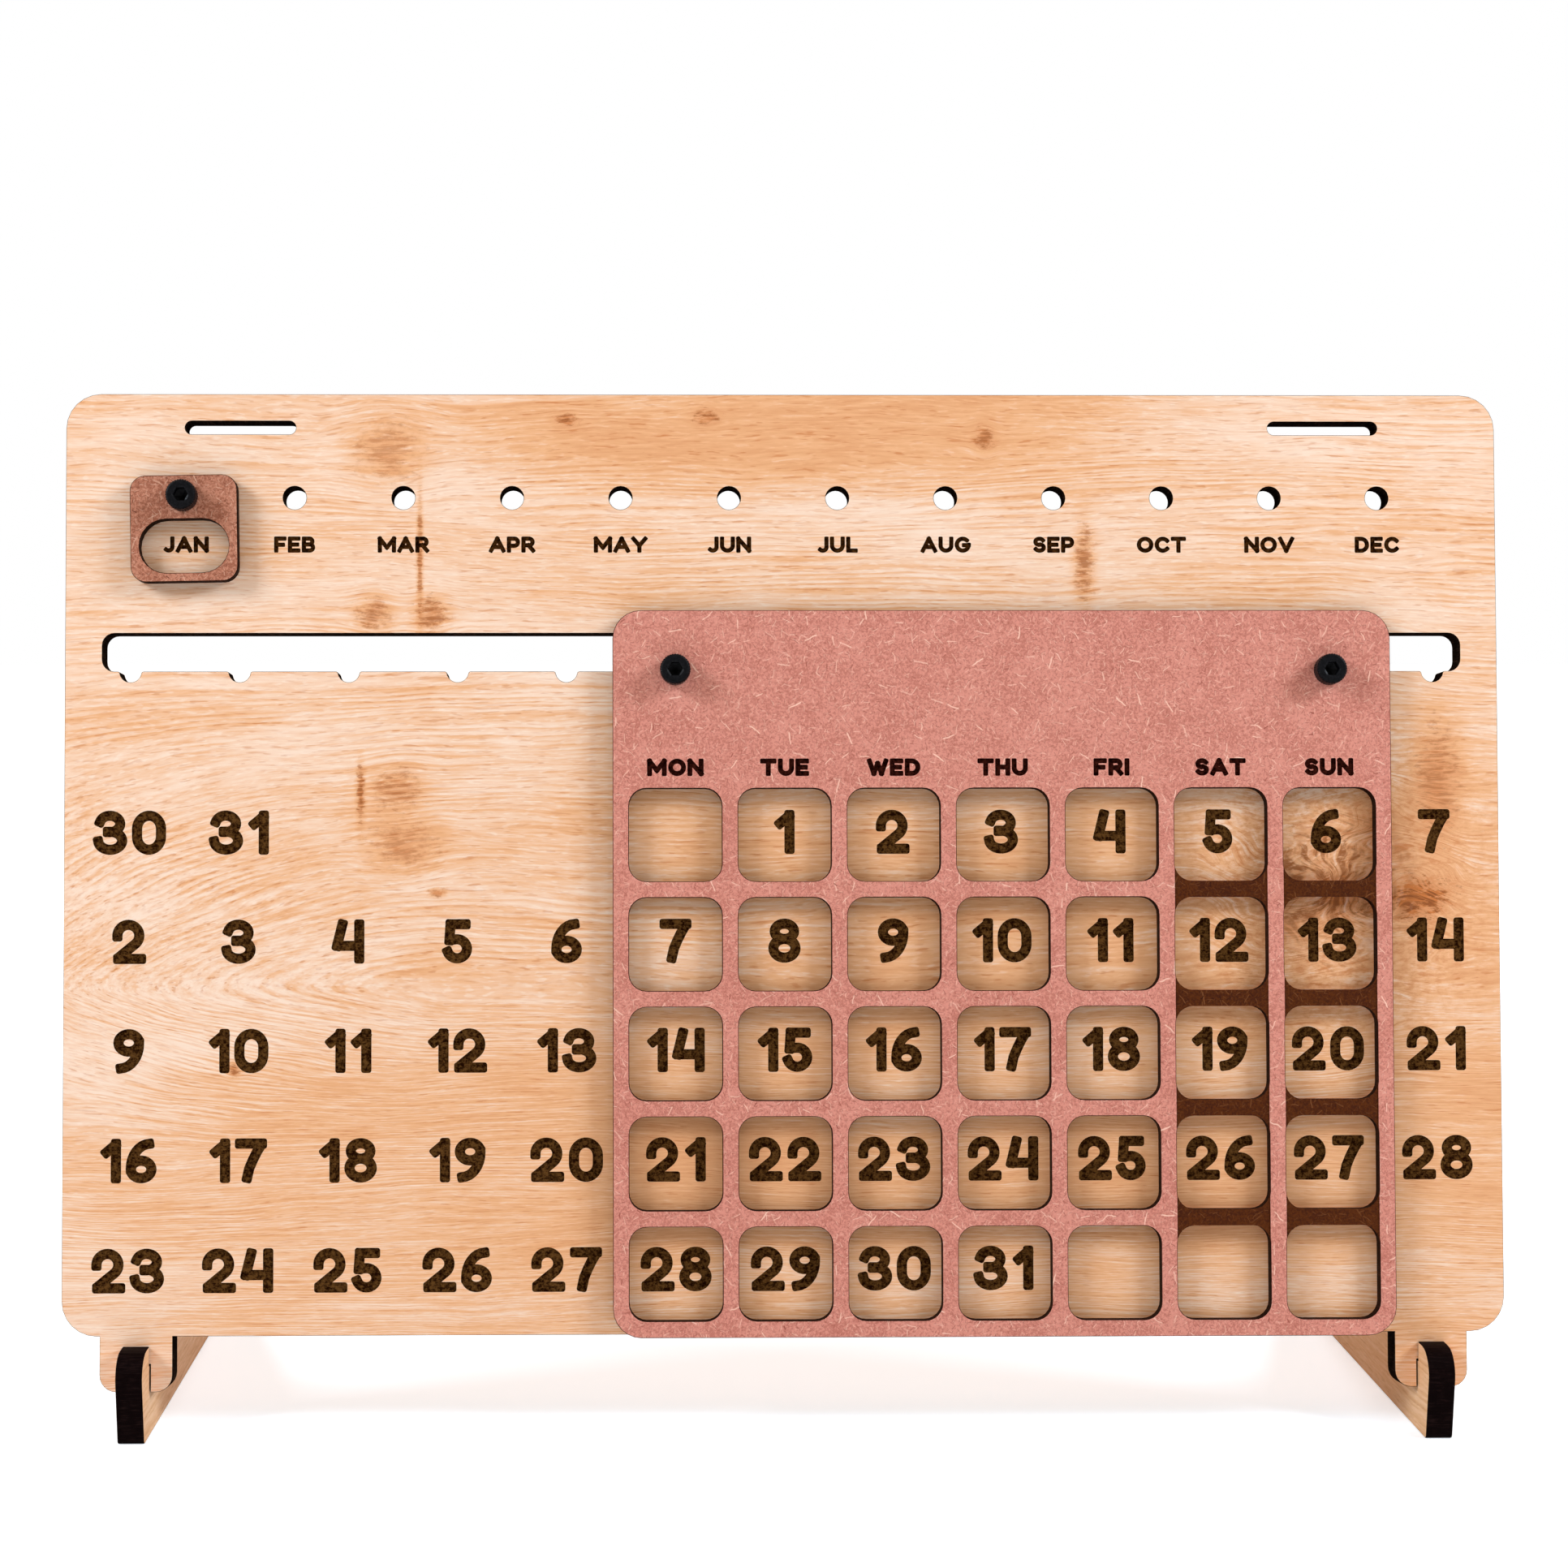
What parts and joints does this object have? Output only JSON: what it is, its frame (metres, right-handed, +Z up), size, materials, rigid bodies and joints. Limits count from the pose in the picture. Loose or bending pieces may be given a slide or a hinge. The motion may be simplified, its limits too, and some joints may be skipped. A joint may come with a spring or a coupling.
{
  "type": "perpetual desk calendar",
  "caption": "Perpetual desk calendar: a leaning wooden board on cross-lapped legs, with a week frame that slides in a notched slot and a month marker that hangs by a bolt.",
  "frame": {"origin": "on the table plane, under the middle of the calendar's bounding box", "axes": "+X to the right of a viewer who reads the calendar, +Y away from the viewer, +Z up"},
  "size_m": [0.33, 0.1036, 0.2364],
  "materials": {
    "oak_veneer": "oiled oak veneer on fibreboard, charred laser-cut edges",
    "leg_wood": "oak veneer, charred laser-cut edges",
    "pink_fibreboard": "dyed fibreboard, matte",
    "brown_fibreboard": "dyed fibreboard, matte",
    "black_steel": "black oxide",
    "zinc_steel": "bright zinc"
  },
  "bodies": {
    "feet": {"left_leg": "leg_wood", "right_leg": "leg_wood"},
    "board": {"back_board": "oak_veneer"},
    "week_slider": {"week_frame": "pink_fibreboard", "frame_bolt_left": "black_steel", "frame_washer_left": "zinc_steel", "frame_nut_left": "zinc_steel", "frame_bolt_right": "black_steel", "frame_washer_right": "zinc_steel", "frame_nut_right": "zinc_steel"},
    "marker_peg": {"marker_bolt": "black_steel"},
    "marker": {"month_marker": "brown_fibreboard"}
  },
  "joints": [
    {"name": "board_lift", "type": "slide", "parent": "feet", "child": "board", "axis": [0, 0.1392, 0.9903], "range_m": [0, 0.022]},
    {"name": "week_slide", "type": "slide", "parent": "board", "child": "week_slider", "axis": [1, 0, 0], "range_m": [-0.125, 0.025]},
    {"name": "marker_pull", "type": "slide", "parent": "board", "child": "marker_peg", "axis": [0, -0.9903, 0.1392], "range_m": [0, 0.009]},
    {"name": "marker_swing", "type": "hinge", "parent": "marker_peg", "child": "marker", "pos_m": [-0.1375, -0.01526, 0.21221], "axis": [0, -0.9903, 0.1392], "continuous": true}
  ]
}
